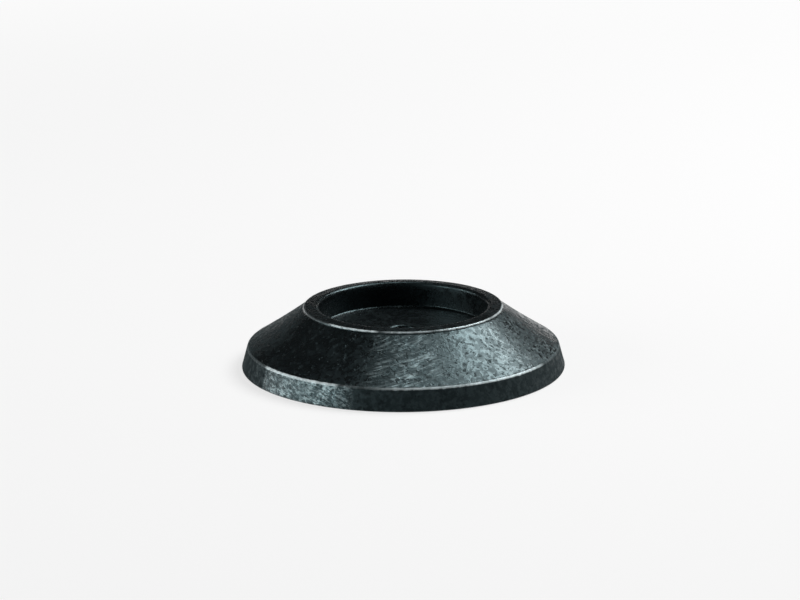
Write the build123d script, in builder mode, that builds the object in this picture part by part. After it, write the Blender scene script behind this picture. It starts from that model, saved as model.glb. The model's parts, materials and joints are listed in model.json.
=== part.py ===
"""Moulded rubber end cap for a round tube, made as one piece.

The cap is a body of revolution about +Z. Its origin is the centre of the foot ring, on the surface
that it stands on. Lengths are in millimetres.
"""

import os

from build123d import *

# Neck and tube socket
tube_diameter = 45.0
neck_wall = 4.1
neck_lip_height = 0.5
neck_fall = 0.3
mouth_radius = 0.9
neck_edge_radius = 0.4
socket_corner_radius = 0.5

# Foot and rim
foot_diameter = 86.6
rim_height = 5.85
rim_flare = 1.6
rim_edge_radius = 0.7
foot_edge_radius = 0.4

# Flank between the rim and the neck
overall_height = 16.9
flank_sag = 0.2

# Hollow underneath, and the web between it and the socket
foot_ring_width = 6.5
hollow_depth = 5.8
hollow_taper = 2.0
hollow_corner_radius = 1.5
web_thickness = 4.2
stud_hole_diameter = 6.8
stud_hole_chamfer = 0.4

# Radii and heights that follow from these
tube_radius = tube_diameter / 2
neck_radius = tube_radius + neck_wall
foot_radius = foot_diameter / 2
rim_radius = foot_radius - rim_flare
hollow_mouth_radius = foot_radius - foot_ring_width
hollow_roof_radius = hollow_mouth_radius - hollow_taper
stud_hole_radius = stud_hole_diameter / 2
neck_edge_height = overall_height - neck_fall
flank_top_height = neck_edge_height - neck_lip_height
socket_floor_height = hollow_depth + web_thickness
socket_depth = overall_height - socket_floor_height

# Largest rounding, as a share of the wall that it is cut in or of the lip that it finishes
wall_rounding_share = 1 / 3
lip_rounding_share = 0.9

# Roundings of the foot's two edges, and of the other corners of the section
foot_rounding = min(foot_edge_radius, foot_ring_width * wall_rounding_share)
section_corners = {
    (foot_radius, 0): foot_rounding,
    (rim_radius, rim_height): min(rim_edge_radius, rim_height * wall_rounding_share),
    (neck_radius, neck_edge_height): min(neck_edge_radius, neck_lip_height * lip_rounding_share),
    (tube_radius, overall_height): min(mouth_radius, neck_wall * wall_rounding_share),
    (tube_radius, socket_floor_height): min(socket_corner_radius, socket_depth * wall_rounding_share),
}

with BuildPart() as rubber_end_cap:
    # Half section: flared rim, slightly dished flank, neck that falls away from the tube, socket
    with BuildSketch(Plane.XZ) as section:
        with BuildLine():
            rim = Polyline((0, 0), (foot_radius, 0), (rim_radius, rim_height))
            flank = SagittaArc(rim @ 1, (neck_radius, flank_top_height), flank_sag)
            Polyline(
                flank @ 1,
                (neck_radius, neck_edge_height),
                (tube_radius, overall_height),
                (tube_radius, socket_floor_height),
                (0, socket_floor_height),
                (0, 0),
            )
        make_face()
        for corner, rounding in section_corners.items():
            fillet(section.vertices().sort_by_distance(corner)[0], rounding)
    revolve(axis=Axis.Z)

    # Hollow underneath, which leaves a foot ring to stand on
    Cone(
        hollow_mouth_radius,
        hollow_roof_radius,
        hollow_depth,
        align=(Align.CENTER, Align.CENTER, Align.MIN),
        mode=Mode.SUBTRACT,
    )
    hollow_edges = edges(Select.LAST).filter_by(GeomType.CIRCLE).sort_by(Axis.Z)
    fillet(hollow_edges[-1], min(hollow_corner_radius, hollow_depth * wall_rounding_share))
    fillet(hollow_edges[0], foot_rounding)

    # Hole for a stud, through the web between the hollow and the socket
    with Locations((0, 0, socket_floor_height)):
        Hole(stud_hole_radius)
    stud_hole_edges = edges(Select.LAST).filter_by(GeomType.CIRCLE)
    chamfer(stud_hole_edges, min(stud_hole_chamfer, web_thickness * wall_rounding_share))

rubber_end_cap.part.label = "rubber_end_cap"

os.makedirs("parts", exist_ok=True)
export_step(rubber_end_cap.part, "parts/rubber_end_cap.step")
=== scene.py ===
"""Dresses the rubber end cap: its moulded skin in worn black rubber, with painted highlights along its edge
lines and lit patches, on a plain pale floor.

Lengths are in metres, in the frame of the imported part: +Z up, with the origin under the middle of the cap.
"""

import json
import math
from collections import namedtuple

import bpy
import numpy as np
from mathutils import Matrix, Vector, noise


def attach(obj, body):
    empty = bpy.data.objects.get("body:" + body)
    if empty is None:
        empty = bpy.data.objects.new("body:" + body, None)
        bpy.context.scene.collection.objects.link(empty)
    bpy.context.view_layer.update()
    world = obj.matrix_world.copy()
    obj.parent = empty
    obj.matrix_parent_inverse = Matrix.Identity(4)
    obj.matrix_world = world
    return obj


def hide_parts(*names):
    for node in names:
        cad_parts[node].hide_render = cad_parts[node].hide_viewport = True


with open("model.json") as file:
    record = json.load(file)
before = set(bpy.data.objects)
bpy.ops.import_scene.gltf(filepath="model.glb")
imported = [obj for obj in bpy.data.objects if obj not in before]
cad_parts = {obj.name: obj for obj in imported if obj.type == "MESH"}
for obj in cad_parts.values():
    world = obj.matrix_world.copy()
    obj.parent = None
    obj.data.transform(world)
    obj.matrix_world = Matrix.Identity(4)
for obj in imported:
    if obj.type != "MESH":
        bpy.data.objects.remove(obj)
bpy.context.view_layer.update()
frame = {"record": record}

MM = 0.001
CAP_NODE = "rubber_end_cap"
mounts = {mount["name"]: mount for mount in frame["record"]["mounts"]}

# Sizes of the cap's section, the same as the solid's
tube_radius = mounts["tube_socket"]["dims"]["r_mm"] * MM
stud_hole_radius = mounts["stud_hole"]["dims"]["r_mm"] * MM
neck_wall = 4.1 * MM
neck_lip_height = 0.5 * MM
neck_fall = 0.3 * MM
foot_radius = 43.3 * MM
rim_height = 5.85 * MM
rim_flare = 1.6 * MM
overall_height = 16.9 * MM
flank_sag = 0.2 * MM
foot_ring_width = 6.5 * MM
hollow_depth = 5.8 * MM
hollow_taper = 2.0 * MM
web_thickness = 4.2 * MM
stud_hole_chamfer = 0.4 * MM

# Roundings of the section's corners
foot_rounding = 0.4 * MM
rim_rounding = 0.7 * MM
neck_rounding = 0.4 * MM
mouth_rounding = 0.9 * MM
socket_rounding = 0.5 * MM
hollow_rounding = 1.5 * MM

# Radii and heights that follow from these
neck_radius = tube_radius + neck_wall
rim_radius = foot_radius - rim_flare
hollow_mouth_radius = foot_radius - foot_ring_width
hollow_roof_radius = hollow_mouth_radius - hollow_taper
flank_radius = (neck_radius + rim_radius) / 2
neck_edge_height = overall_height - neck_fall
flank_top_height = neck_edge_height - neck_lip_height
socket_floor_height = hollow_depth + web_thickness

# Fineness of the skin
columns = 448
arc_steps = 6
outside_step = 0.42 * MM
inside_step = 1.0 * MM

# Unevenness of the moulded faces: the length and depth of its waves and ripples
wave_length = 9.0 * MM
wave_depth = 0.04 * MM
ripple_length = 1.9 * MM
ripple_depth = 0.02 * MM

# Layers of the ripples: how fast they weaken, how much finer each is than the last, and how many there are
ripple_weakening = 1.0
ripple_fineness = 2.0
ripple_layers = 3

# Share of the unevenness on the lip and inside the cap
lip_share = 0.7
inside_share = 0.5

# Colours of the rubber where it is clean and rubbed, the rubbed colour also painting highlights on the rim's
# left patch and the flank's right side; the pale colour of the edge lines, a painted highlight partly worn
# at an edge; and the tint of its gloss
clean_colour = (0.0016, 0.0022, 0.0026, 1)
# Pale rubbed colour: real rubbed strokes at the front and back, a partly painted highlight on the rim's left
# patch and in the right flank's mottle
rubbed_and_highlight_colour = (0.48, 0.6, 0.62, 1)
# Near-white of the edge lines: a painted highlight on the roundings where the lamps catch them, partly wear
edge_highlight_and_wear_colour = (0.74, 0.84, 0.86, 1)
gloss_tint = (0.6, 0.93, 1.0, 1)

# Roughness of its dull and glossy spots and of an edge line, polished and partly worn, where it carries a
# painted highlight
dull_roughness = 0.42
glossy_roughness = 0.15
worn_roughness = 0.14

# Roughness added in pits, on the rim off its rubbed and highlighted patch, and on the dull side, and between
# clouds and in them
pit_roughness = 0.2
rim_roughness = 0.45
side_roughness = 0.3
cloud_roughness = (0.07, -0.05)

# Noise of its clouds, grain and pits: length, layers of finer spots, and the share of each finer layer
plain_fine_share = 0.5
cloud_length = 6.0 * MM
cloud_detail = 2.0
grain_length = 1.4 * MM
grain_detail = 5.0
grain_fine_share = 0.62
pit_length = 1.1 * MM
pit_detail = 1.0

# Rubbed strokes, and the rim's strokes and the flank's mottle that partly paint highlights: their size, and
# their slant as a way round the cap, outwards and up
flank_stroke_size = (4.4 * MM, 0.8 * MM, 0.8 * MM)
rim_stroke_size = (1.2 * MM, 0.6 * MM, 0.6 * MM)
mottle_size = (1.5 * MM, 0.9 * MM, 0.9 * MM)
flank_slant = Vector((0.93, -0.3, 0.2))
rim_slant = Vector((0.9, 0.0, -0.4))

# Noise of the strokes and mottle: length in strokes, finer layers, the share of each, and waviness
stroke_unit = 1.0
stroke_detail = 4.0
stroke_fine_share = 0.6
stroke_waviness = 0.8

# Middle value of a noise, and values between which clouds, glossy spots, pits, strokes and mottle come in
noise_middle = 0.5
cloud_limits = (0.35, 0.65)
spot_limits = (0.38, 0.64)
pit_limits = (0.6, 0.7)
flank_stroke_limits = (0.46, 0.66)
rim_stroke_limits = (0.46, 0.58)
mottle_limits = (0.46, 0.64)

# Rubbed sides, with partly painted highlights in the mottle of the right flank and the rim's left patch, and
# dull sides, in degrees from the front: middle, half widths of core and whole, and most share
flank_sides = ((1, 3, 20, 0.72), (128, 8, 42, 0.22), (236, 8, 42, 0.3))
# The pale mottle on the flank's right side is partly a painted highlight where the key lamp's highlight
# fades
mottled_highlight_sides = ((66, 8, 26, 0.47),)
# The rim's pale strokes on its left are partly a painted highlight of the side lamp, partly rubbing
rim_highlight_and_rubbed_sides = ((-43, 15, 17, 1.0), (-34, 8, 17, 1.0))
dull_sides = ((-98, 12, 36, 1.0),)

# Share of rubbing on other sides, between clouds and in dull spots, of dust on glossy spots, lost in pits
least_rubbing = 0.008
cloud_rubbing = 0.35
grain_rubbing = 0.45
dust_share = 0.0105
pit_darkness = 0.8

# Edge lines, painted highlights on the roundings where the lamps catch them and partly wear: the sides where
# each shows, told in the same way, and its place in the section
# Shoulder line: painted highlight on the lit sides, wear on the back ones
shoulder_highlight_and_wear_sides = (
    (40, 12, 24, 1.0),
    (18, 8, 34, 0.65),
    (-42, 16, 19, 1.0),
    (150, 20, 50, 0.45),
    (225, 20, 40, 0.45),
)
# Lip line: painted highlight on the lit sides, wear on the back ones
lip_highlight_and_wear_sides = (
    (-31, 13, 18, 1.0),
    (3, 6, 18, 0.6),
    (40, 10, 26, 1.0),
    (76, 6, 20, 0.8),
    (150, 20, 50, 0.45),
    (225, 20, 40, 0.45),
)
highlit_and_worn_edges = (
    (shoulder_highlight_and_wear_sides, (rim_radius, 0, rim_height)),
    (lip_highlight_and_wear_sides, (neck_radius, 0, neck_edge_height)),
)

# Edge lines, painted highlight and partly wear: how far from an edge they are full and end, their
# raggedness, and their share elsewhere and in dull spots
edge_line_core = 0.2 * MM
edge_line_reach = 0.5 * MM
edge_line_raggedness = 0.45 * MM
least_wear = 0.08
grain_edge_line = 0.7

# Width over which the look of one face passes into that of the next
edge_margin = 0.6 * MM

# Relief of the grain, and the share of it that pits, strokes and the rim's swell have
relief_depth = 0.12 * MM
pit_relief = 0.55
stroke_relief = 0.04
swell_relief = 1.6
swell_length = 1.7 * MM
swell_detail = 1.0

# Floor: half its width, its drop under the cap, its colour, and its own share of white from near to far
floor_half = 4.0
floor_drop = 0.1 * MM
floor_colour = (0.84, 0.84, 0.84, 1)
floor_white = (0.7, 1.0)
floor_white_distances = (0.25, 0.8)

# Studio: its white, the height of its horizon, and the strength of the light at it and above it
plain_white = (1, 1, 1, 1)
horizon_limits = (0.045, 0.07)
studio_strengths = (1.0, 0.02)

# Lamps: their distance from the cap, and the direction, width, height and radiance of each
lamp_distance = 1.0
lamps = {
    "key_softbox": ((0.569, 0.284, 0.772), 0.61, 0.52, 9.8),
    "top_softbox": ((0.09, 0.13, 0.985), 0.29, 0.38, 4.1),
    "side_softbox": ((-0.945, -0.243, 0.215), 1.24, 0.42, 3.6),
}

# Camera: the image's width and the focal length in pixels, the sensor's width in mm, and its place
image_width = 800
focal_pixels = 3200
sensor_width = 36.0
camera_distance = 852.8 * MM
camera_elevation = math.radians(15.33)
camera_roll = math.radians(-0.4)
camera_aim = Vector((-0.8 * MM, 0, 17.94 * MM))


Corner = namedtuple("Corner", "radius height rounding step unevenness")


def section_corners():
    """Corners of the section in order, each with the step and the unevenness of the run after it."""
    chamfer_radius = stud_hole_radius + stud_hole_chamfer
    return [
        Corner(chamfer_radius, hollow_depth, 0, inside_step, 0),
        Corner(stud_hole_radius, hollow_depth + stud_hole_chamfer, 0, inside_step, 0),
        Corner(stud_hole_radius, socket_floor_height - stud_hole_chamfer, 0, inside_step, 0),
        Corner(chamfer_radius, socket_floor_height, 0, inside_step, inside_share),
        Corner(tube_radius, socket_floor_height, socket_rounding, inside_step, inside_share),
        Corner(tube_radius, overall_height, mouth_rounding, outside_step, lip_share),
        Corner(neck_radius, neck_edge_height, neck_rounding, outside_step, lip_share),
        Corner(neck_radius, flank_top_height, 0, outside_step, 1),
        Corner(rim_radius, rim_height, rim_rounding, outside_step, 1),
        Corner(foot_radius, 0, foot_rounding, inside_step, 0),
        Corner(hollow_mouth_radius, 0, foot_rounding, inside_step, inside_share),
        Corner(hollow_roof_radius, hollow_depth, hollow_rounding, inside_step, inside_share),
    ]


def rounded_corner(before, corner, after, rounding):
    """Points of the arc that rounds a corner, from the run before it to the run after it."""
    if not rounding:
        return [corner]
    to_before = (before - corner).normalized()
    to_after = (after - corner).normalized()
    half_angle = to_before.angle(to_after) / 2
    bisector = (to_before + to_after).normalized()
    centre = corner + bisector * (rounding / math.sin(half_angle))
    start = corner + to_before * (rounding / math.tan(half_angle)) - centre
    end = corner + to_after * (rounding / math.tan(half_angle)) - centre
    turn = start.angle_signed(end)
    return [centre + Matrix.Rotation(-turn * i / arc_steps, 2) @ start for i in range(arc_steps + 1)]


def section_outline():
    """Closed outline of the section: an array of radius and height, and the unevenness at each point."""
    corners = section_corners()
    places = [Vector((corner.radius, corner.height)) for corner in corners]
    arcs = []
    for i, corner in enumerate(corners):
        following = places[(i + 1) % len(corners)]
        arcs.append(rounded_corner(places[i - 1], places[i], following, corner.rounding))
    points = []
    unevenness = []
    for i, (arc, corner) in enumerate(zip(arcs, corners)):
        points += arc
        unevenness += [min(corners[i - 1].unevenness, corner.unevenness)] * len(arc)
        start = arc[-1]
        end = arcs[(i + 1) % len(arcs)][0]
        steps = max(1, math.ceil((end - start).length / corner.step))
        is_flank = (corner.radius, corner.height) == (neck_radius, flank_top_height)
        along = (end - start).normalized()
        inward = Vector((along.y, -along.x)) if is_flank else Vector((0, 0))
        # The flank's dish is a parabola, as deep as its sag half way along
        for k in range(1, steps):
            share = k / steps
            dish = 4 * flank_sag * share * (1 - share)
            points.append(start.lerp(end, share) + inward * dish)
            unevenness.append(corner.unevenness)
    return np.array([tuple(point) for point in points]), np.array(unevenness)


def unevenness_depth(place):
    """How far the moulded face lies inside its true place, for a face of full unevenness."""
    wave = (noise.noise(place / wave_length) + 1) / 2
    ripple = noise.fractal(place / ripple_length, ripple_weakening, ripple_fineness, ripple_layers)
    ripple = min(max((ripple + 1) / 2, 0), 1)
    return wave * wave_depth + ripple * ripple_depth


def make_cap():
    """The cap's skin: its section turned about the axis, with the unevenness of a moulded face."""
    outline, unevenness = section_outline()
    along = np.roll(outline, -1, 0) - np.roll(outline, 1, 0)
    along /= np.linalg.norm(along, axis=1)[:, None]
    outward = np.stack([-along[:, 1], along[:, 0]], 1)
    rows = len(outline)
    vertices = []
    for (radius, height), (out_radius, out_height), share in zip(outline, outward, unevenness):
        for column in range(columns):
            angle = 2 * math.pi * column / columns
            way = Vector((math.cos(angle), math.sin(angle), 0))
            place = way * radius + Vector((0, 0, height))
            normal = way * out_radius + Vector((0, 0, out_height))
            if share:
                place -= normal * (share * unevenness_depth(place))
            vertices.append(place)
    faces = []
    for row in range(rows):
        first = row * columns
        second = (row + 1) % rows * columns
        for column in range(columns):
            beside = (column + 1) % columns
            faces.append((first + column, second + column, second + beside, first + beside))
    mesh = bpy.data.meshes.new("moulded_cap")
    mesh.from_pydata(vertices, [], faces)
    mesh.shade_smooth()
    cap = bpy.data.objects.new("moulded_cap", mesh)
    bpy.context.scene.collection.objects.link(cap)
    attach(cap, "root")
    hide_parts(CAP_NODE)
    return cap


def add(tree, kind, inputs=(), **settings):
    """A new node of that kind, with its settings, and its inputs set to values or linked to sockets."""
    node = tree.nodes.new(kind)
    for name, value in settings.items():
        setattr(node, name, value)
    for key, value in dict(inputs).items():
        if isinstance(value, bpy.types.NodeSocket):
            tree.links.new(value, node.inputs[key])
        else:
            node.inputs[key].default_value = value
    return node


def add_noise(tree, place, length, detail, fine_share=plain_fine_share, waviness=0.0):
    """Noise from 0 to 1 whose spots are about that long, with finer ones on them in that share."""
    inputs = {
        "Vector": place,
        "Scale": 1 / length,
        "Detail": detail,
        "Roughness": fine_share,
        "Distortion": waviness,
    }
    return add(tree, "ShaderNodeTexNoise", inputs).outputs["Fac"]


def add_range(tree, value, limits, ends=(0.0, 1.0)):
    """Value carried smoothly from between its limits to between these ends, and held at them beyond."""
    inputs = {
        "Value": value,
        "From Min": limits[0],
        "From Max": limits[1],
        "To Min": ends[0],
        "To Max": ends[1],
    }
    return add(tree, "ShaderNodeMapRange", inputs, interpolation_type="SMOOTHSTEP").outputs["Result"]


def add_math(tree, operation, first, second):
    """First and second joined by that operation."""
    return add(tree, "ShaderNodeMath", {0: first, 1: second}, operation=operation).outputs["Value"]


def add_vector_math(tree, operation, first, output, second=(0.0, 0.0, 0.0)):
    """That output of the operation on two vectors, or on the first alone."""
    return add(tree, "ShaderNodeVectorMath", {0: first, 1: second}, operation=operation).outputs[output]


def add_mix(tree, share, first, second):
    """The first colour where share is 0, and the second where it is 1."""
    mix = add(tree, "ShaderNodeMix", {"Factor": share}, data_type="RGBA")
    for name, value in (("A", first), ("B", second)):
        socket = next(s for s in mix.inputs if s.name == name and s.type == "RGBA")
        if isinstance(value, bpy.types.NodeSocket):
            tree.links.new(value, socket)
        else:
            socket.default_value = value
    return next(s for s in mix.outputs if s.type == "RGBA")


def add_flat_place(tree, place):
    """Place without its height."""
    parts = add(tree, "ShaderNodeSeparateXYZ", {"Vector": place}).outputs
    return add(tree, "ShaderNodeCombineXYZ", {"X": parts["X"], "Y": parts["Y"]}).outputs["Vector"]


def add_round_place(tree, place):
    """Place as the way round the cap from its front, the distance from its axis, and the height."""
    parts = add(tree, "ShaderNodeSeparateXYZ", {"Vector": place}).outputs
    angle = add_math(tree, "ARCTAN2", parts["X"], add_math(tree, "MULTIPLY", parts["Y"], -1.0))
    way = add_math(tree, "MULTIPLY", angle, flank_radius)
    inputs = {"X": way, "Y": add_radius(tree, place), "Z": parts["Z"]}
    return add(tree, "ShaderNodeCombineXYZ", inputs).outputs["Vector"]


def add_strokes(tree, place, size, slant, limits):
    """1 in streaks that run along that slant, and 0 between them."""
    turn = slant.to_track_quat("X", "Z").to_euler()
    inputs = {"Vector": add_round_place(tree, place), "Rotation": turn, "Scale": size}
    route = add(tree, "ShaderNodeMapping", inputs, vector_type="TEXTURE").outputs["Vector"]
    smears = add_noise(tree, route, stroke_unit, stroke_detail, stroke_fine_share, stroke_waviness)
    return add_range(tree, smears, limits)


def add_rubbing_and_highlight(tree, place):
    """Share of rubbed streaks on the flank, and of partly painted highlight in the mottle on the flank's
    right side and the streaks on the rim's left patch.
    """
    on_rim = add_on_rim(tree, place)
    on_flank = add_math(tree, "SUBTRACT", add_off_neck(tree, place), on_rim)
    faces = (
        (on_flank, flank_sides, flank_stroke_size, flank_slant, flank_stroke_limits),
        (on_flank, mottled_highlight_sides, mottle_size, flank_slant, mottle_limits),
        (on_rim, rim_highlight_and_rubbed_sides, rim_stroke_size, rim_slant, rim_stroke_limits),
    )
    rubbing_and_highlight = 0.0
    for face, sides, size, slant, limits in faces:
        # On the rim's left patch and in the right flank's mottle these pale strokes partly paint a highlight
        strokes_and_highlight = add_math(tree, "MULTIPLY", add_strokes(tree, place, size, slant, limits), face)
        strokes_and_highlight = add_math(tree, "MULTIPLY", strokes_and_highlight, add_sides(tree, place, sides, least_rubbing))
        rubbing_and_highlight = add_math(tree, "ADD", rubbing_and_highlight, strokes_and_highlight)
    return rubbing_and_highlight


def add_sides(tree, place, sides, least):
    """Share by side of the cap: the most of each of these sides in its core, and the least off them all."""
    way = add_vector_math(tree, "NORMALIZE", add_flat_place(tree, place), "Vector")
    share = least
    for middle, core, reach, most in sides:
        direction = (math.sin(math.radians(middle)), -math.cos(math.radians(middle)), 0.0)
        facing = add_vector_math(tree, "DOT_PRODUCT", way, "Value", direction)
        limits = (math.cos(math.radians(reach)), math.cos(math.radians(core)))
        share = add_math(tree, "MAXIMUM", share, add_range(tree, facing, limits, (0.0, most)))
    return share


def add_radius(tree, place):
    """Distance of the place from the cap's axis."""
    return add_vector_math(tree, "LENGTH", add_flat_place(tree, place), "Value")


def add_off_neck(tree, place):
    """1 further out than the neck, as on the flank and the rim, and 0 on the neck and in the socket."""
    return add_range(tree, add_radius(tree, place), (neck_radius, neck_radius + edge_margin))


def add_on_rim(tree, place):
    """1 as far out as the rim, and 0 further in."""
    return add_range(tree, add_radius(tree, place), (rim_radius - edge_margin, rim_radius))


def add_edge_highlight_and_wear(tree, place, ragged):
    """1 along the shoulder and the lip's outer edge, on the sides that carry a painted highlight, partly
    worn, falling to 0 on the faces, further off where ragged is high.
    """
    height = add(tree, "ShaderNodeSeparateXYZ", {"Vector": place}).outputs["Z"]
    inputs = {"X": add_radius(tree, place), "Z": height}
    section = add(tree, "ShaderNodeCombineXYZ", inputs).outputs["Vector"]
    retreat = add_math(tree, "MULTIPLY", add_math(tree, "SUBTRACT", noise_middle, ragged), edge_line_raggedness)
    highlight_and_wear = 0.0
    for sides, edge in highlit_and_worn_edges:
        # Each edge line is a painted highlight on its rounding, partly wear
        gap = add_math(tree, "ADD", add_vector_math(tree, "DISTANCE", section, "Value", edge), retreat)
        near = add_range(tree, gap, (edge_line_core, edge_line_reach), (1.0, 0.0))
        near = add_math(tree, "MULTIPLY", near, add_sides(tree, place, sides, least_wear))
        highlight_and_wear = add_math(tree, "MAXIMUM", highlight_and_wear, near)
    return highlight_and_wear


def worn_rubber_and_highlights():
    """Black moulded rubber with a dusty grey bloom, rubbed streaks, pits, and pale edge lines and patches
    that are partly painted highlights, partly worn.
    """
    material = bpy.data.materials.new("worn_rubber_and_highlights")
    material.use_nodes = True
    tree = material.node_tree
    shader = tree.nodes["Principled BSDF"]
    place = add(tree, "ShaderNodeTexCoord").outputs["Object"]
    clouds = add_noise(tree, place, cloud_length, cloud_detail)
    grain = add_noise(tree, place, grain_length, grain_detail, grain_fine_share)
    spots = add_range(tree, grain, spot_limits)
    pits = add_range(tree, add_noise(tree, place, pit_length, pit_detail), pit_limits)
    pits = add_math(tree, "MULTIPLY", pits, add_off_neck(tree, place))

    # Clouds, pits and the grain weaken the strokes and their painted highlights, and the grain weakens the
    # edge lines, painted highlights that are partly wear
    strokes_and_highlight = add_range(tree, clouds, cloud_limits, (cloud_rubbing, 1.0))
    strokes_and_highlight = add_math(tree, "MULTIPLY", strokes_and_highlight, add_rubbing_and_highlight(tree, place))
    unpitted = add_range(tree, pits, (0.0, 1.0), (1.0, 1.0 - pit_darkness))
    strokes_and_highlight = add_math(tree, "MULTIPLY", strokes_and_highlight, unpitted)
    strokes_and_highlight = add_math(tree, "MULTIPLY", strokes_and_highlight, add_range(tree, grain, spot_limits, (grain_rubbing, 1.0)))
    edge_highlight_and_wear = add_edge_highlight_and_wear(tree, place, grain)
    highlight_and_wear = add_math(tree, "MULTIPLY", edge_highlight_and_wear, add_range(tree, grain, spot_limits, (grain_edge_line, 1.0)))

    # Colour
    # Pale strokes and mottle, partly a painted highlight on the rim's patch and the right flank, then the
    # pale edge lines, painted highlights that are partly wear
    dust_and_highlight = add_math(tree, "MAXIMUM", add_math(tree, "MULTIPLY", spots, dust_share), strokes_and_highlight)
    colour = add_mix(tree, dust_and_highlight, clean_colour, rubbed_and_highlight_colour)
    colour = add_mix(tree, highlight_and_wear, colour, edge_highlight_and_wear_colour)
    tree.links.new(colour, shader.inputs["Base Color"])
    shader.inputs["Specular Tint"].default_value = gloss_tint

    # Roughness
    roughness = add_range(tree, spots, (0.0, 1.0), (dull_roughness, glossy_roughness))
    roughness = add_math(tree, "ADD", roughness, add_math(tree, "MULTIPLY", pits, pit_roughness))
    roughness = add_math(tree, "ADD", roughness, add_range(tree, clouds, cloud_limits, cloud_roughness))
    off_rim_patch = add_math(tree, "SUBTRACT", 1.0, add_sides(tree, place, rim_highlight_and_rubbed_sides, 0.0))
    dull_rim = add_math(tree, "MULTIPLY", add_on_rim(tree, place), off_rim_patch)
    roughness = add_math(tree, "ADD", roughness, add_math(tree, "MULTIPLY", dull_rim, rim_roughness))
    dull_side = add_sides(tree, place, dull_sides, 0.0)
    dull_side = add_math(tree, "MULTIPLY", add_off_neck(tree, place), dull_side)
    roughness = add_math(tree, "ADD", roughness, add_math(tree, "MULTIPLY", dull_side, side_roughness))
    duller = add_math(tree, "SUBTRACT", roughness, worn_roughness)
    polish = add_math(tree, "MULTIPLY", edge_highlight_and_wear, add_math(tree, "MAXIMUM", duller, 0.0))
    tree.links.new(add_math(tree, "SUBTRACT", roughness, polish), shader.inputs["Roughness"])

    # Relief
    relief = add_math(tree, "SUBTRACT", grain, add_math(tree, "MULTIPLY", pits, pit_relief))
    relief = add_math(tree, "ADD", relief, add_math(tree, "MULTIPLY", strokes_and_highlight, stroke_relief))
    swell = add_math(tree, "MULTIPLY", add_noise(tree, place, swell_length, swell_detail), swell_relief)
    relief = add_math(tree, "ADD", relief, add_math(tree, "MULTIPLY", swell, add_on_rim(tree, place)))
    bump = add(tree, "ShaderNodeBump", {"Height": relief, "Strength": 1.0, "Distance": relief_depth})
    tree.links.new(bump.outputs["Normal"], shader.inputs["Normal"])
    return material


def seen_ray(tree):
    """1 for a ray from the camera or from a mirror-like or clear surface, and 0 for any other."""
    path = add(tree, "ShaderNodeLightPath").outputs
    seen = add_math(tree, "MAXIMUM", path["Is Camera Ray"], path["Is Glossy Ray"])
    return add_math(tree, "MAXIMUM", seen, path["Is Transmission Ray"])


def pale_floor():
    """Matt pale floor, whose white is partly its own where it is seen, and wholly so far away."""
    material = bpy.data.materials.new("pale_floor")
    material.use_nodes = True
    tree = material.node_tree
    tree.nodes.clear()
    matt = add(tree, "ShaderNodeBsdfDiffuse", {"Color": floor_colour}).outputs["BSDF"]
    white = add(tree, "ShaderNodeEmission", {"Color": plain_white, "Strength": 1.0}).outputs["Emission"]
    place = add(tree, "ShaderNodeTexCoord").outputs["Object"]
    distance = add_vector_math(tree, "LENGTH", place, "Value")
    own_white = add_range(tree, distance, floor_white_distances, floor_white)
    share = add_math(tree, "MULTIPLY", seen_ray(tree), own_white)
    mix = add(tree, "ShaderNodeMixShader", {0: share, 1: matt, 2: white})
    add(tree, "ShaderNodeOutputMaterial", {"Surface": mix.outputs["Shader"]})
    return material


def make_floor():
    """A plain pale floor, which looks near white and keeps a soft shadow."""
    mesh = bpy.data.meshes.new("floor")
    corners = ((-1, -1), (1, -1), (1, 1), (-1, 1))
    places = [(x * floor_half, y * floor_half, -floor_drop) for x, y in corners]
    mesh.from_pydata(places, [], [(0, 1, 2, 3)])
    mesh.materials.append(pale_floor())
    floor = bpy.data.objects.new("floor", mesh)
    bpy.context.scene.collection.objects.link(floor)


def make_lamp(name, direction, width, height, radiance):
    """A soft studio lamp of that radiance, as bright as that many times white, facing the cap."""
    lamp = bpy.data.lights.new(name, "AREA")
    lamp.shape = "RECTANGLE"
    lamp.size = width
    lamp.size_y = height
    lamp.energy = radiance * math.pi * width * height
    target = Vector((0, 0, overall_height / 2))
    way = Vector(direction).normalized()
    box = bpy.data.objects.new(name, lamp)
    box.location = target + way * lamp_distance
    box.rotation_euler = way.to_track_quat("Z", "Y").to_euler()
    bpy.context.scene.collection.objects.link(box)


def make_world():
    """A dim studio that is white at its horizon, where it meets the floor."""
    world = bpy.data.worlds.new("studio")
    world.use_nodes = True
    tree = world.node_tree
    way = add(tree, "ShaderNodeTexCoord").outputs["Generated"]
    height = add(tree, "ShaderNodeSeparateXYZ", {"Vector": way}).outputs["Z"]
    strength = add_range(tree, height, horizon_limits, studio_strengths)
    background = tree.nodes["Background"]
    background.inputs["Color"].default_value = plain_white
    tree.links.new(strength, background.inputs["Strength"])
    bpy.context.scene.world = world


def make_camera():
    """A long lens that looks down on the cap from in front."""
    data = bpy.data.cameras.new("camera")
    data.sensor_width = sensor_width
    data.lens = sensor_width * focal_pixels / image_width
    camera = bpy.data.objects.new("camera", data)
    turn = Matrix.Rotation(math.pi / 2 - camera_elevation, 4, "X") @ Matrix.Rotation(camera_roll, 4, "Z")
    back = turn.to_3x3() @ Vector((0, 0, 1))
    camera.matrix_world = Matrix.Translation(camera_aim + back * camera_distance) @ turn
    bpy.context.scene.collection.objects.link(camera)
    bpy.context.scene.camera = camera


make_camera()
make_floor()
make_world()
for lamp_name, lamp_values in lamps.items():
    make_lamp(lamp_name, *lamp_values)
make_cap().data.materials.append(worn_rubber_and_highlights())
bpy.context.scene.view_settings.view_transform = "Standard"
